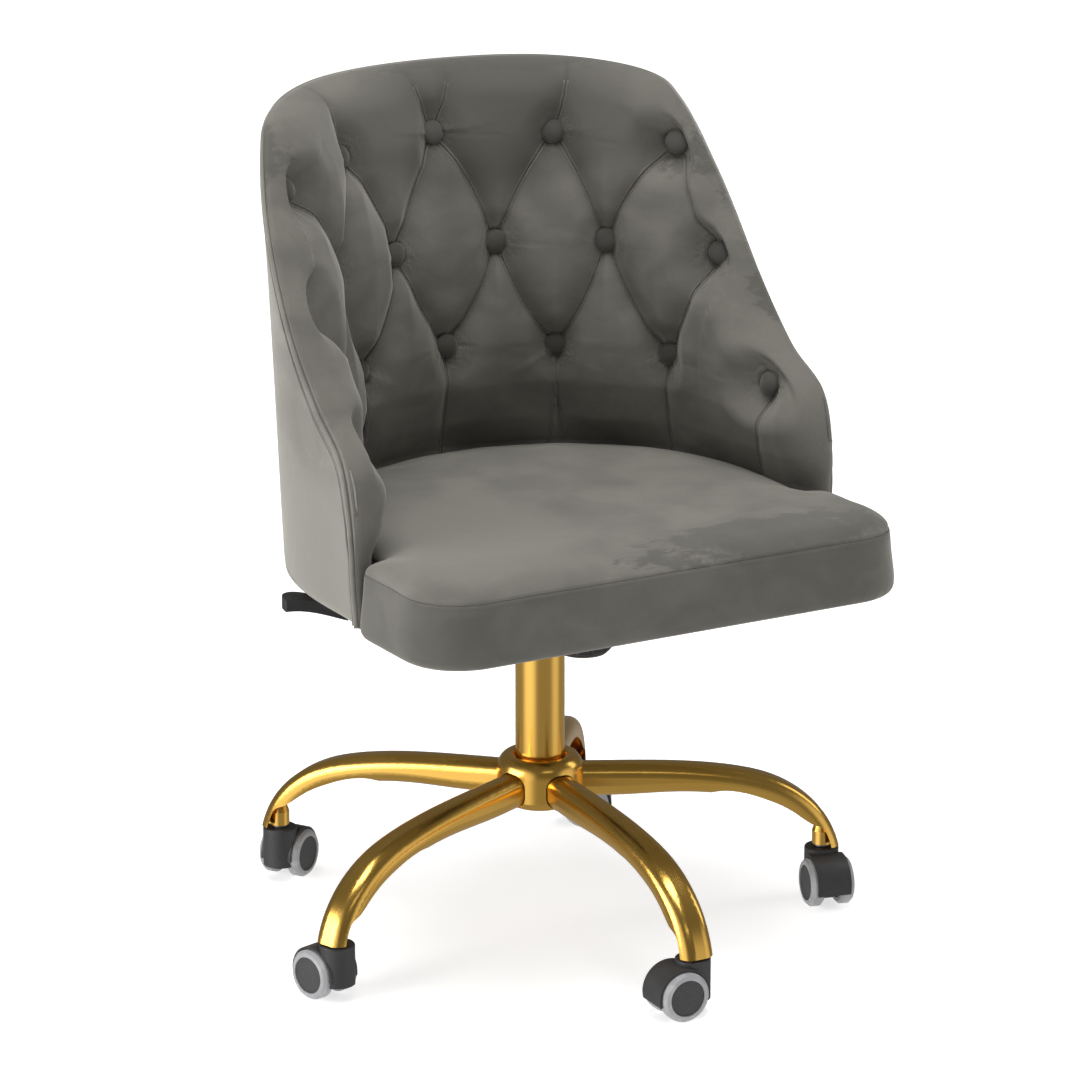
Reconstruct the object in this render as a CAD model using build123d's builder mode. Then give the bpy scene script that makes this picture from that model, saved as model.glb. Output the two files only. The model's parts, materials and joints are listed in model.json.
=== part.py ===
from build123d import *
from math import cos, radians, sin
import os

# Swivel office chair: five-leg base on twin-wheel casters, gas-lift column,
# tilt mechanism, seat cushion and a buttoned bucket back.
# Frame: +Z up from the floor, origin under the column, front of the chair towards -Y.

# ---- driving dimensions (mm) ----
LEG_ANGLES = [-90, -18, 54, 126, 198]           # plan angle of each leg
CASTER_HEADINGS = [178, -104, -30, 32, 105]     # plan angle from swivel axis to wheel axle
STEM_RADIUS_FROM_CENTRE = 297.0
LEG_END_Z = 60.0
LEG_END_WIDTH = 37.0
LEG_CORNER_RADIUS = 13.0
LEG_WALL = 2.0
HUB_RADIUS = 44.0
HUB_BOTTOM_Z = 127.0
HUB_TOP_Z = 180.0
HUB_SLEEVE_RADIUS = 31.0
HUB_LEG_GAP = 0.8                               # gap round each leg where it enters the hub
COLUMN_RADIUS = 25.0
COLUMN_TOP_Z = 300.0
PRESSURE_TUBE_RADIUS = 14.0
RUNNING_GAP = 0.05                              # radial clearance of every running fit

WHEEL_RADIUS = 25.0
WHEEL_WIDTH = 14.3
WHEEL_INNER_Y = 9.0                             # inner face of each wheel from the caster's middle
CASTER_TRAIL = 18.0
HOOD_TOP_Z = 57.5
HOOD_RADIUS = 28.0
HOOD_HALF_WIDTH = 17.7
WHEEL_CLEARANCE = 0.8
STEM_RADIUS = 5.5
WEB_HALF_THICKNESS = 4.5
AXLE_RADIUS = 4.0

TILT_AXIS_Z = 340.0
SEAT_PLATE_TOP_Z = 383.0
KNOB_Y = -85.0
KNOB_RADIUS = 29.0
KNOB_BOTTOM_Z = 311.0
LEVER_HINGE = (-48.0, 30.0, 352.0)
PADDLE_END = (-254.5, 72.0, 0.0)
PADDLE_TURN = radians(12)
PADDLE_WIDTH = 32.0

SEAT_HALF_WIDTH = 270.0
SEAT_FRONT_Y = -276.0
SEAT_BOTTOM_Z = 376.0
SEAT_TOP_Z = 450.0
SEAT_CORNER_RADIUS = 60.0
SEAT_REAR_RADIUS = 236.5
BOARD_BOTTOM_Z = 389.0
BOARD_TOP_Z = 404.0

SHELL_BOTTOM_Z = 383.0
SHELL_TOP_Z = 853.0
SHELL_WALL = 12.0
SHELL_RADIUS_BOTTOM = 272.0
SHELL_RADIUS_TOP = 286.0
SHELL_CENTRE_Y_BOTTOM = -42.0
SHELL_CENTRE_Y_TOP = -23.0
SHELL_SIDE_X = 270.0                            # the sides are nearly flat behind the front edge
SHELL_FRONT_FLARE = 15.0                        # how much further out the front edge is at the top

os.makedirs("parts", exist_ok=True)


def save(piece, name):
    piece.part.label = name
    export_step(piece.part, f"parts/{name}.step")
    print(name, len(piece.part.solids()), "solid(s)", round(piece.part.volume / 1000, 1), "cm3")


# ---- base: legs ----
# Each station along a leg: distance out, height of the top, slope in degrees, section height, width.
LEG_STATIONS = [
    (25.0, 167.5, -3.0, 35.0, 31.0),
    (65.0, 165.3, -3.4, 34.5, 31.5),
    (105.0, 162.6, -4.2, 33.0, 32.5),
    (147.0, 158.8, -6.5, 30.0, 34.0),
    (189.0, 152.7, -10.5, 28.5, 35.5),
    (225.0, 144.3, -17.5, 28.5, 36.5),
    (256.0, 131.5, -28.0, 28.5, LEG_END_WIDTH),
    (281.0, 113.8, -42.0, 28.5, LEG_END_WIDTH),
    (299.0, 93.0, -56.0, 28.5, LEG_END_WIDTH),
    (310.0, 71.0, -71.0, 28.5, LEG_END_WIDTH),
    (315.5, 48.0, -82.0, 28.5, LEG_END_WIDTH),
]


def leg_body(inset):
    """Tube along the leg's stations, each section shrunk by the inset."""
    with BuildPart() as body:
        for reach, top, slope, height, width in LEG_STATIONS:
            a = radians(slope)
            drop = height / 2
            centre = (reach + drop * sin(a), 0, top - drop * cos(a))
            with BuildSketch(Plane(origin=centre, x_dir=(0, 1, 0), z_dir=(cos(a), 0, sin(a)))):
                RectangleRounded(width - 2 * inset, height - 2 * inset, LEG_CORNER_RADIUS - inset)
        loft()
    return body.part


with BuildPart() as leg:
    add(leg_body(0))
    add(leg_body(LEG_WALL), mode=Mode.SUBTRACT)
    # the outer half is an open channel: everything below its rolled edge is cut away
    with BuildSketch(Plane.XZ):
        with BuildLine():
            edge = Spline(
                (172, 122), (203, 128), (232, 118), (260, 103.5), (284, 86.5), (303, 60),
                tangents=[(0.6, 1), (0.25, -1)],
            )
            Polyline(edge @ 1, (303, 0), (172, 0), edge @ 0)
        make_face()
    extrude(amount=LEG_END_WIDTH, both=True, mode=Mode.SUBTRACT)
    # cut level just above the caster, and to the hub's inner sleeve
    with BuildSketch(Plane.XY):
        Rectangle(700, 100)
    extrude(amount=LEG_END_Z, mode=Mode.SUBTRACT)
    with BuildSketch(Plane.XY):
        Circle(HUB_SLEEVE_RADIUS)
    extrude(amount=HUB_TOP_Z + 50, mode=Mode.SUBTRACT)

with BuildPart() as base_legs:
    with PolarLocations(0, 5, start_angle=LEG_ANGLES[0]):
        add(leg.part)
save(base_legs, "base_legs")

# ---- base: hub ----
with BuildPart() as leg_hole:
    add(leg_body(-HUB_LEG_GAP))
    with Locations((0, 0, 150)):
        Cylinder(HUB_SLEEVE_RADIUS, 80, mode=Mode.SUBTRACT)

with BuildPart() as base_hub:
    with BuildSketch(Plane.XZ) as hub_profile:
        with BuildLine():
            Polyline(
                (COLUMN_RADIUS, 129), (COLUMN_RADIUS, 172), (COLUMN_RADIUS + 2.5, 174),
                (COLUMN_RADIUS + 2.5, HUB_TOP_Z - 3),
            )
            lip = ThreePointArc((COLUMN_RADIUS + 2.5, HUB_TOP_Z - 3), (28.8, HUB_TOP_Z - 0.7), (32, HUB_TOP_Z))
            side = Spline(lip @ 1, (39.5, 176.2), (HUB_RADIUS, 163), tangents=[(1, 0), (0, -1)])
            Polyline(
                side @ 1, (HUB_RADIUS, 138), (HUB_RADIUS - 3, 132), (33, 130.5), (30, HUB_BOTTOM_Z),
                (27, HUB_BOTTOM_Z), (27, 129), (COLUMN_RADIUS, 129),
            )
        make_face()
    revolve(axis=Axis.Z)
    # holes that the legs plug into, down to the inner sleeve
    with PolarLocations(0, 5, start_angle=LEG_ANGLES[0]):
        add(leg_hole.part, mode=Mode.SUBTRACT)
save(base_hub, "base_hub")

# ---- base: caster sockets welded inside the leg ends ----
with BuildPart() as caster_sockets:
    with PolarLocations(STEM_RADIUS_FROM_CENTRE, 5, start_angle=LEG_ANGLES[0]):
        with Locations((0, 0, LEG_END_Z + 0.5)):
            Cylinder(10, 14, align=(Align.CENTER, Align.CENTER, Align.MIN))
        with Locations((0, 0, LEG_END_Z + 14.5)):
            Cone(10, 7.5, 8, align=(Align.CENTER, Align.CENTER, Align.MIN))
        # web that reaches the channel's wall
        with Locations((8, 0, LEG_END_Z + 0.5)):
            Box(13, 12, 6, align=(Align.CENTER, Align.CENTER, Align.MIN))
    with PolarLocations(STEM_RADIUS_FROM_CENTRE, 5, start_angle=LEG_ANGLES[0]):
        with Locations((0, 0, LEG_END_Z)):
            Cylinder(STEM_RADIUS, 18, align=(Align.CENTER, Align.CENTER, Align.MIN), mode=Mode.SUBTRACT)
save(caster_sockets, "caster_sockets")

# ---- gas-lift column ----
with BuildPart() as column_tube:
    with BuildSketch(Plane.XZ):
        with BuildLine():
            Polyline(
                (5.4, 129), (COLUMN_RADIUS, 129), (COLUMN_RADIUS, COLUMN_TOP_Z - 1), (COLUMN_RADIUS - 1, COLUMN_TOP_Z),
                (23, COLUMN_TOP_Z), (23, 133), (5.4, 133), close=True,
            )
        make_face()
    revolve(axis=Axis.Z)
save(column_tube, "column_tube")

with BuildPart() as column_guide_bush:
    with Locations((0, 0, COLUMN_TOP_Z - 42)):
        Cylinder(23, 42, align=(Align.CENTER, Align.CENTER, Align.MIN))
        Cylinder(
            PRESSURE_TUBE_RADIUS + RUNNING_GAP, 42, align=(Align.CENTER, Align.CENTER, Align.MIN),
            mode=Mode.SUBTRACT,
        )
save(column_guide_bush, "column_guide_bush")

with BuildPart() as thrust_bearing:
    with Locations((0, 0, 133)):
        Cylinder(14, 5, align=(Align.CENTER, Align.CENTER, Align.MIN))
        Cylinder(5 + RUNNING_GAP, 5, align=(Align.CENTER, Align.CENTER, Align.MIN), mode=Mode.SUBTRACT)
save(thrust_bearing, "thrust_bearing")

with BuildPart() as piston_rod:
    with BuildSketch(Plane.XZ):
        with BuildLine():
            Polyline(
                (0, 130), (5, 130), (5, 138), (12, 138), (12, 141), (5, 141), (5, 284), (11.9, 284),
                (11.9, 296), (0, 296), close=True,
            )
        make_face()
    revolve(axis=Axis.Z)
save(piston_rod, "piston_rod")

with BuildPart() as pressure_tube:
    with BuildSketch(Plane.XZ):
        with BuildLine():
            Polyline(
                (5 + RUNNING_GAP, 146), (PRESSURE_TUBE_RADIUS, 146), (PRESSURE_TUBE_RADIUS, 344),
                (4 + RUNNING_GAP, 344), (4 + RUNNING_GAP, 328), (12, 328), (12, 156), (5 + RUNNING_GAP, 156),
                close=True,
            )
        make_face()
    revolve(axis=Axis.Z)
save(pressure_tube, "pressure_tube")

with BuildPart() as release_pin:
    with Locations((0, 0, 322)):
        Cylinder(4, 28.7, align=(Align.CENTER, Align.CENTER, Align.MIN))
    chamfer(release_pin.edges().sort_by(Axis.Z)[-1], 0.8)
save(release_pin, "release_pin")

# ---- tilt mechanism ----
with BuildPart() as mechanism_housing:
    with Locations((0, 0, 303)):
        Cylinder(22, 42, align=(Align.CENTER, Align.CENTER, Align.MIN))
    with Locations((0, -10, 318)):
        Box(64, 80, 3, align=(Align.CENTER, Align.CENTER, Align.MIN))
    # side walls, low enough behind for the lever's finger to pass over
    with BuildSketch(Plane.YZ):
        with BuildLine():
            Polyline(
                (-50, 318), (30, 318), (30, 336), (13, 348), (-13, 348), (-25, 360), (-50, 360), close=True,
            )
        make_face()
    extrude(amount=32, both=True, mode=Mode.ADD)
    with Locations((0, -10, 321)):
        Box(58, 90, 60, align=(Align.CENTER, Align.CENTER, Align.MIN), mode=Mode.SUBTRACT)
    with Locations((0, 0, 303)):
        Cylinder(22, 42, align=(Align.CENTER, Align.CENTER, Align.MIN))
    # front arm that the spring pushes up against
    with Locations((0, -81, 356)):
        Box(64, 62, 4, align=(Align.CENTER, Align.CENTER, Align.MIN))
    with Locations((0, KNOB_Y, 350)):
        Box(13, 20, 20, mode=Mode.SUBTRACT)
    with Locations((0, 0, 300)):
        Cylinder(PRESSURE_TUBE_RADIUS, 50, align=(Align.CENTER, Align.CENTER, Align.MIN), mode=Mode.SUBTRACT)
    # holes for the two tilt pins
    with BuildSketch(Plane.YZ.offset(-40)):
        with Locations((0, TILT_AXIS_Z)):
            Circle(5)
    extrude(amount=17, mode=Mode.SUBTRACT)
    with BuildSketch(Plane.YZ.offset(40)):
        with Locations((0, TILT_AXIS_Z)):
            Circle(5)
    extrude(amount=-17, mode=Mode.SUBTRACT)
save(mechanism_housing, "mechanism_housing")

with BuildPart() as tilt_pivot_pins:
    for side in (-1, 1):
        with BuildSketch(Plane.YZ.offset(side * 26)):
            with Locations((0, TILT_AXIS_Z)):
                Circle(5)
        extrude(amount=side * 14)
save(tilt_pivot_pins, "tilt_pivot_pins")

with BuildPart() as tension_spring:
    with BuildLine() as coil:
        Helix(pitch=9.2, height=32, radius=17, center=(0, KNOB_Y, 321.5))
    with BuildSketch(Plane(origin=coil.line @ 0, z_dir=coil.line % 0)):
        Circle(2.4)
    sweep(is_frenet=True)
save(tension_spring, "tension_spring")

with BuildPart() as tension_bolt:
    with Locations((0, KNOB_Y, 312)):
        Cylinder(5, 62, align=(Align.CENTER, Align.CENTER, Align.MIN))
    with Locations((0, KNOB_Y, 374)):
        Cylinder(10, 6, align=(Align.CENTER, Align.CENTER, Align.MIN))
save(tension_bolt, "tension_bolt")

with BuildPart() as tension_knob:
    with Locations((0, KNOB_Y, KNOB_BOTTOM_Z)):
        Cylinder(KNOB_RADIUS, 21, align=(Align.CENTER, Align.CENTER, Align.MIN))
    chamfer(tension_knob.edges().group_by(Axis.Z)[0], 5)
    with Locations((0, KNOB_Y, KNOB_BOTTOM_Z + 8)):
        Cylinder(22.5, 20, align=(Align.CENTER, Align.CENTER, Align.MIN), mode=Mode.SUBTRACT)
    with Locations((0, KNOB_Y, KNOB_BOTTOM_Z)):
        Cylinder(5 + RUNNING_GAP, 20, align=(Align.CENTER, Align.CENTER, Align.MIN), mode=Mode.SUBTRACT)
        with PolarLocations(KNOB_RADIUS + 3.5, 12, start_angle=15):
            Cylinder(5, 60, mode=Mode.SUBTRACT)
save(tension_knob, "tension_knob")

with BuildPart() as seat_plate:
    with BuildSketch(Plane.XY.offset(SEAT_PLATE_TOP_Z - 3)):
        with Locations((0, -5)):
            RectangleRounded(184, 200, 12)
        with GridLocations(150, 160, 2, 2):
            Circle(4.3, mode=Mode.SUBTRACT)
    extrude(amount=3)
    # ears on the tilt pins
    for side in (-1, 1):
        with BuildSketch(Plane.YZ.offset(side * 32.6)):
            with BuildLine():
                ThreePointArc((-13, TILT_AXIS_Z), (0, TILT_AXIS_Z - 13), (13, TILT_AXIS_Z))
                Polyline((13, TILT_AXIS_Z), (13, 380), (-13, 380), (-13, TILT_AXIS_Z))
            make_face()
            with Locations((0, TILT_AXIS_Z)):
                Circle(5 + RUNNING_GAP, mode=Mode.SUBTRACT)
        extrude(amount=side * 3.4)
    # tabs on the lever's hinge pin
    for tab_y in (14, 43):
        with BuildSketch(Plane.XZ.offset(-tab_y - 3)):
            with Locations((LEVER_HINGE[0], 364)):
                Rectangle(12, 32)
            with Locations((LEVER_HINGE[0], LEVER_HINGE[2])):
                Circle(3, mode=Mode.SUBTRACT)
        extrude(amount=3)
save(seat_plate, "seat_plate")

with BuildPart() as seat_bolts:
    with BuildSketch(Plane.XY.offset(SEAT_PLATE_TOP_Z - 8)):
        with GridLocations(150, 160, 2, 2):
            RegularPolygon(7.5, 6)
    extrude(amount=5)
    with BuildSketch(Plane.XY.offset(SEAT_PLATE_TOP_Z - 3)):
        with GridLocations(150, 160, 2, 2):
            Circle(4)
    extrude(amount=22)
save(seat_bolts, "seat_bolts")

# ---- height lever ----
with BuildPart() as lever_pivot_pin:
    with BuildSketch(Plane.XZ.offset(-12)):
        with Locations((LEVER_HINGE[0], LEVER_HINGE[2])):
            Circle(3)
    extrude(amount=-36)
save(lever_pivot_pin, "lever_pivot_pin")

with BuildPart() as lever_rod:
    # barrel on the pin
    with BuildSketch(Plane.XZ.offset(-18)):
        with Locations((LEVER_HINGE[0], LEVER_HINGE[2])):
            Circle(6)
    extrude(amount=-24)
    # finger that reaches over the release pin
    with BuildSketch(Plane.XY.offset(351.3)):
        make_hull(edges=[Edge.make_circle(5, Plane((LEVER_HINGE[0], LEVER_HINGE[1], 0))), Edge.make_circle(5)])
    extrude(amount=5)
    # rod out to the paddle
    with BuildLine() as rod_line:
        FilletPolyline((-50, 30, 350), (-84, 36, 341), (-140, 48, 336), (-222, 65, 353.5), radius=25)
    with BuildSketch(Plane(origin=rod_line.line @ 0, z_dir=rod_line.line % 0)):
        Circle(4.5)
    sweep()
    with BuildSketch(Plane.XZ.offset(-10)):
        with Locations((LEVER_HINGE[0], LEVER_HINGE[2])):
            Circle(3 + RUNNING_GAP)
    extrude(amount=-40, mode=Mode.SUBTRACT)
save(lever_rod, "lever_rod")

with BuildPart() as lever_paddle:
    # side view, from the blunt outer end inwards
    paddle_plane = Plane(
        origin=PADDLE_END, x_dir=(cos(PADDLE_TURN), -sin(PADDLE_TURN), 0),
        z_dir=(-sin(PADDLE_TURN), -cos(PADDLE_TURN), 0),
    )
    with BuildSketch(paddle_plane):
        with BuildLine():
            underside = Spline((0, 353), (18, 352), (38, 347), (64, 338))
            Polyline(underside @ 1, (64, 351.5), (30, 361))
            topside = ThreePointArc((30, 361), (15, 364), (0, 365.5))
            Line(topside @ 1, underside @ 0)
        make_face()
    extrude(amount=PADDLE_WIDTH / 2, both=True)
    upright = lever_paddle.edges().filter_by(Axis.Z)
    fillet(upright.sort_by(Axis.Y)[-2:].sort_by(Axis.X)[0], 20)
    fillet(lever_paddle.edges().filter_by(Axis.Z).sort_by(Axis.X)[0], 2)
    add(lever_rod.part, mode=Mode.SUBTRACT)
save(lever_paddle, "lever_paddle")


# ---- seat ----
def bucket_radius(z):
    rise = (z - SHELL_BOTTOM_Z) / (SHELL_TOP_Z - SHELL_BOTTOM_Z)
    return SHELL_RADIUS_BOTTOM + (SHELL_RADIUS_TOP - SHELL_RADIUS_BOTTOM) * rise


def bucket_centre(z):
    rise = (z - SHELL_BOTTOM_Z) / (SHELL_TOP_Z - SHELL_BOTTOM_Z)
    return SHELL_CENTRE_Y_BOTTOM + (SHELL_CENTRE_Y_TOP - SHELL_CENTRE_Y_BOTTOM) * rise


def bucket_section(z, inset, front_y):
    """Closed plan of the bucket at height z, shrunk by the inset: a round back and two near-straight sides."""
    rise = (z - SHELL_BOTTOM_Z) / (SHELL_TOP_Z - SHELL_BOTTOM_Z)
    radius = bucket_radius(z) - inset
    centre = bucket_centre(z)
    front_x = SHELL_SIDE_X + 2 + SHELL_FRONT_FLARE * rise - inset
    with BuildSketch(Plane.XY.offset(z)) as plan:
        with BuildLine():
            CenterArc((0, centre), radius, 30, 120)
            for side in (-1, 1):
                Spline(
                    (side * radius * cos(radians(30)), centre + radius / 2),
                    (side * (SHELL_SIDE_X - inset), -48), (side * front_x, -128),
                    tangents=[(side * 0.5, -0.866), (side * 0.1, -1)],
                )
                if front_y < -128:
                    Line((side * front_x, -128), (side * front_x, front_y))
            Line((-front_x, front_y), (front_x, front_y))
        make_face()
    return plan.sketch


with BuildPart() as seat_board:
    with BuildSketch(Plane.XY.offset(BOARD_BOTTOM_Z)):
        with BuildLine():
            CenterArc((0, SHELL_CENTRE_Y_BOTTOM), 254, 0, 180)
            for side in (-1, 1):
                Line((side * 254, SHELL_CENTRE_Y_BOTTOM), (side * 254, -210))
            CenterArc((204, -210), 50, -90, 90)
            CenterArc((-204, -210), 50, 180, 90)
            Line((-204, -260), (204, -260))
        make_face()
        with GridLocations(150, 160, 2, 2):
            Circle(4, mode=Mode.SUBTRACT)
    extrude(amount=BOARD_TOP_Z - BOARD_BOTTOM_Z)
save(seat_board, "seat_board")

with BuildPart() as seat_cushion:
    # the front block wraps under the board
    with BuildSketch(Plane.XY.offset(SEAT_BOTTOM_Z)) as front_block:
        with Locations((0, (SEAT_FRONT_Y - 126) / 2)):
            Rectangle(2 * SEAT_HALF_WIDTH, -126 - SEAT_FRONT_Y)
        fillet(front_block.vertices().group_by(Axis.Y)[0], SEAT_CORNER_RADIUS)
    extrude(amount=SEAT_TOP_Z - SEAT_BOTTOM_Z)
    # the rear part sits between the pad's sides, on the board
    with BuildSketch(Plane.XY.offset(BOARD_TOP_Z)):
        with BuildLine():
            CenterArc((0, SHELL_CENTRE_Y_BOTTOM), SEAT_REAR_RADIUS, 0, 180)
            for side in (-1, 1):
                Line((side * SEAT_REAR_RADIUS, SHELL_CENTRE_Y_BOTTOM), (side * SEAT_REAR_RADIUS, -140))
            Line((-SEAT_REAR_RADIUS, -140), (SEAT_REAR_RADIUS, -140))
        make_face()
    extrude(amount=SEAT_TOP_Z - BOARD_TOP_Z)
    fillet(seat_cushion.faces().sort_by(Axis.Z)[-1].edges(), 10)
    fillet(seat_cushion.edges().group_by(Axis.Z)[0].filter_by(lambda e: e.center().Y < -130), 8)
    with BuildSketch(Plane.XY.offset(BOARD_BOTTOM_Z)):
        with BuildLine():
            for side in (-1, 1):
                Line((side * 254, -100), (side * 254, -210))
            CenterArc((204, -210), 50, -90, 90)
            CenterArc((-204, -210), 50, 180, 90)
            Line((-204, -260), (204, -260))
            Line((-254, -100), (254, -100))
        make_face()
    extrude(amount=BOARD_TOP_Z - BOARD_BOTTOM_Z, mode=Mode.SUBTRACT)
save(seat_cushion, "seat_cushion")


# ---- bucket back ----
def side_profile():
    """What stays of the bucket seen from the side: a low front edge sweeping up to the high back."""
    with BuildPart() as profile:
        with BuildSketch(Plane.YZ):
            with BuildLine():
                Line((-121, 380), (-112, 430))
                rise = Spline(
                    (-112, 430), (-112, 488), (-94, 543), (-40, 582), (21, 647), (85, 741), (125, 804),
                    (155, 832), (225, 850), (300, 853),
                    tangents=[(-0.1, 1), (1, 0.02)],
                )
                Polyline(rise @ 1, (300, 380), (-121, 380))
            make_face()
        extrude(amount=400, both=True)
    return profile.part


with BuildPart() as back_shell:
    loft([bucket_section(SHELL_BOTTOM_Z, 0, -128), bucket_section(SHELL_TOP_Z, 0, -128)])
    fillet(back_shell.edges().group_by(Axis.Z)[0].filter_by(lambda e: e.center().Y > -120), 16)
    loft(
        [bucket_section(BOARD_BOTTOM_Z, SHELL_WALL, -160), bucket_section(SHELL_TOP_Z + 1, SHELL_WALL, -160)],
        mode=Mode.SUBTRACT,
    )
    add(side_profile(), mode=Mode.INTERSECT)
    with BuildSketch(Plane.XY.offset(SHELL_BOTTOM_Z - 1)):
        with GridLocations(150, 160, 2, 2):
            Circle(4.3)
    extrude(amount=10, mode=Mode.SUBTRACT)
save(back_shell, "back_shell")

PAD_LEVELS = [(BOARD_TOP_Z, 30.2), (456, 31.8), (500, 45), (563, 51), (670, 51), (776, 41), (SHELL_TOP_Z + 1, 37)]

with BuildPart() as back_pad:
    loft([bucket_section(BOARD_TOP_Z, SHELL_WALL + 0.4, -128), bucket_section(SHELL_TOP_Z, SHELL_WALL + 0.4, -128)])
    for low, high in zip(PAD_LEVELS, PAD_LEVELS[1:]):
        loft([bucket_section(*low, -160), bucket_section(*high, -160)], mode=Mode.SUBTRACT)
    add(side_profile(), mode=Mode.INTERSECT)
save(back_pad, "back_pad")

# Rows of buttons: height, distance from the bucket's centre, plan angles from straight back.
BUTTON_ROWS = [
    (776, 240.0, [-58, -30, 0, 30, 58]),
    (672, 227.0, [-70.6, -42.7, -14.6, 14.6, 42.7, 70.6]),
    (563, 223.5, [-95, -60.3, -29.5, 0, 29.5, 60.3, 95]),
]
BUTTON_RADIUS = 11.0

with BuildPart() as back_buttons:
    for height, reach, angles in BUTTON_ROWS:
        for angle in angles:
            a = radians(angle)
            centre = (reach * sin(a), bucket_centre(height) + reach * cos(a), height)
            face = Plane(origin=centre, z_dir=(-sin(a), -cos(a), 0))
            with BuildSketch(face.offset(-4)):
                Circle(BUTTON_RADIUS)
            extrude(amount=8)
    fillet(back_buttons.edges(), 2.5)
save(back_buttons, "back_buttons")

# ---- casters ----
for number, (leg_angle, heading) in enumerate(zip(LEG_ANGLES, CASTER_HEADINGS), start=1):
    at = radians(leg_angle)
    h = radians(heading)
    stem_x = STEM_RADIUS_FROM_CENTRE * cos(at)
    stem_y = STEM_RADIUS_FROM_CENTRE * sin(at)
    along = (cos(h), sin(h), 0)
    across = (sin(h), -cos(h), 0)
    swivel = Plane(origin=(stem_x, stem_y, 0), x_dir=along, z_dir=(0, 0, 1))
    hub = (stem_x + CASTER_TRAIL * cos(h), stem_y + CASTER_TRAIL * sin(h), WHEEL_RADIUS)
    wheel_plane = Plane(origin=hub, x_dir=along, z_dir=across)
    axle_plane = Plane(origin=hub, x_dir=across, z_dir=(-cos(h), -sin(h), 0))
    axle_axis = Axis(hub, across)

    with BuildPart() as caster_stem:
        with BuildSketch(swivel.offset(28)):
            Circle(STEM_RADIUS)
        extrude(amount=LEG_END_Z + 12 - 28)
        with BuildSketch(swivel.offset(LEG_END_Z - 1.8)):
            Circle(8)
        extrude(amount=1.6)
    save(caster_stem, f"caster_{number}_stem")

    with BuildPart() as caster_hood:
        # half drum over both wheels
        with BuildSketch(wheel_plane):
            with BuildLine():
                drum = CenterArc((0, 0), HOOD_RADIUS, -16, 196)
                Polyline(drum @ 1, (-HOOD_RADIUS, -3), (0, -3), drum @ 0)
            make_face()
        extrude(amount=HOOD_HALF_WIDTH, both=True)
        # round boss on the swivel axis
        with BuildSketch(swivel.offset(16)):
            Circle(HOOD_HALF_WIDTH)
        extrude(amount=HOOD_TOP_Z - 16)
        fillet(caster_hood.edges().group_by(Axis.Z)[-1], 2)
        # room for the wheels on each side of the middle web
        for side in (-1, 1):
            with BuildSketch(wheel_plane.offset(side * WEB_HALF_THICKNESS)):
                Circle(WHEEL_RADIUS + WHEEL_CLEARANCE)
            extrude(amount=side * 20, mode=Mode.SUBTRACT)
        with BuildSketch(wheel_plane):
            Circle(18)
        extrude(amount=WEB_HALF_THICKNESS, both=True)
        with BuildSketch(wheel_plane):
            Circle(AXLE_RADIUS)
        extrude(amount=6, both=True, mode=Mode.SUBTRACT)
        with BuildSketch(swivel.offset(27)):
            Circle(STEM_RADIUS + RUNNING_GAP)
        extrude(amount=40, mode=Mode.SUBTRACT)
    save(caster_hood, f"caster_{number}_hood")

    with BuildPart() as caster_axle:
        with BuildSketch(wheel_plane):
            Circle(AXLE_RADIUS)
        extrude(amount=20, both=True)
    save(caster_axle, f"caster_{number}_axle")

    outer = WHEEL_INNER_Y + WHEEL_WIDTH
    for side, side_name in ((-1, "left"), (1, "right")):
        with BuildPart() as caster_core:
            with BuildSketch(axle_plane):
                with BuildLine():
                    Polyline(
                        (side * 4.8, AXLE_RADIUS + RUNNING_GAP), (side * 4.8, 8), (side * 10, 8),
                        (side * 10, 18.5), (side * (outer - 1.2), 18.5), (side * (outer - 1.2), 0),
                        (side * 20.2, 0), (side * 20.2, AXLE_RADIUS + RUNNING_GAP), close=True,
                    )
                make_face()
            revolve(axis=axle_axis)
        save(caster_core, f"caster_{number}_{side_name}_core")

        with BuildPart() as caster_tread:
            with BuildSketch(axle_plane):
                with BuildLine():
                    Polyline(
                        (side * WHEEL_INNER_Y, 18.5), (side * WHEEL_INNER_Y, 22.6),
                        (side * (WHEEL_INNER_Y + 2.4), WHEEL_RADIUS), (side * (outer - 3.6), WHEEL_RADIUS),
                        (side * (outer - 0.6), 22.4), (side * outer, 19.6), (side * outer, 18.5), close=True,
                    )
                make_face()
            revolve(axis=axle_axis)
        save(caster_tread, f"caster_{number}_{side_name}_tread")
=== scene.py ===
import json
from math import cos, sin, pi, radians, sqrt

import bmesh
import bpy
import numpy as np
from mathutils import Matrix, Vector


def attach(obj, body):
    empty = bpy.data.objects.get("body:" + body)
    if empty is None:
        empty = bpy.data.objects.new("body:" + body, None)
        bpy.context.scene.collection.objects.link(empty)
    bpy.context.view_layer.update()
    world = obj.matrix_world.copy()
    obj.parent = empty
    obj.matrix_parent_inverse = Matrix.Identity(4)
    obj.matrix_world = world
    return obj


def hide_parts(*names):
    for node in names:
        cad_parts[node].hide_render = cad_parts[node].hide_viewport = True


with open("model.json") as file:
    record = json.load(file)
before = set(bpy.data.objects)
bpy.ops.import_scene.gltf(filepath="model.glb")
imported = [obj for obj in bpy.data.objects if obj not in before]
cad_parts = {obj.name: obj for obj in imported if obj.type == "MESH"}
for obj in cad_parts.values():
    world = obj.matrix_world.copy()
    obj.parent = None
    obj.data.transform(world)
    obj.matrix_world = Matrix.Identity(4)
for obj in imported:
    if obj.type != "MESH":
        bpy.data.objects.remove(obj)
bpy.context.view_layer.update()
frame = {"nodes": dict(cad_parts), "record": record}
scene = bpy.context.scene
scene.view_settings.view_transform = "Standard"


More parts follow.
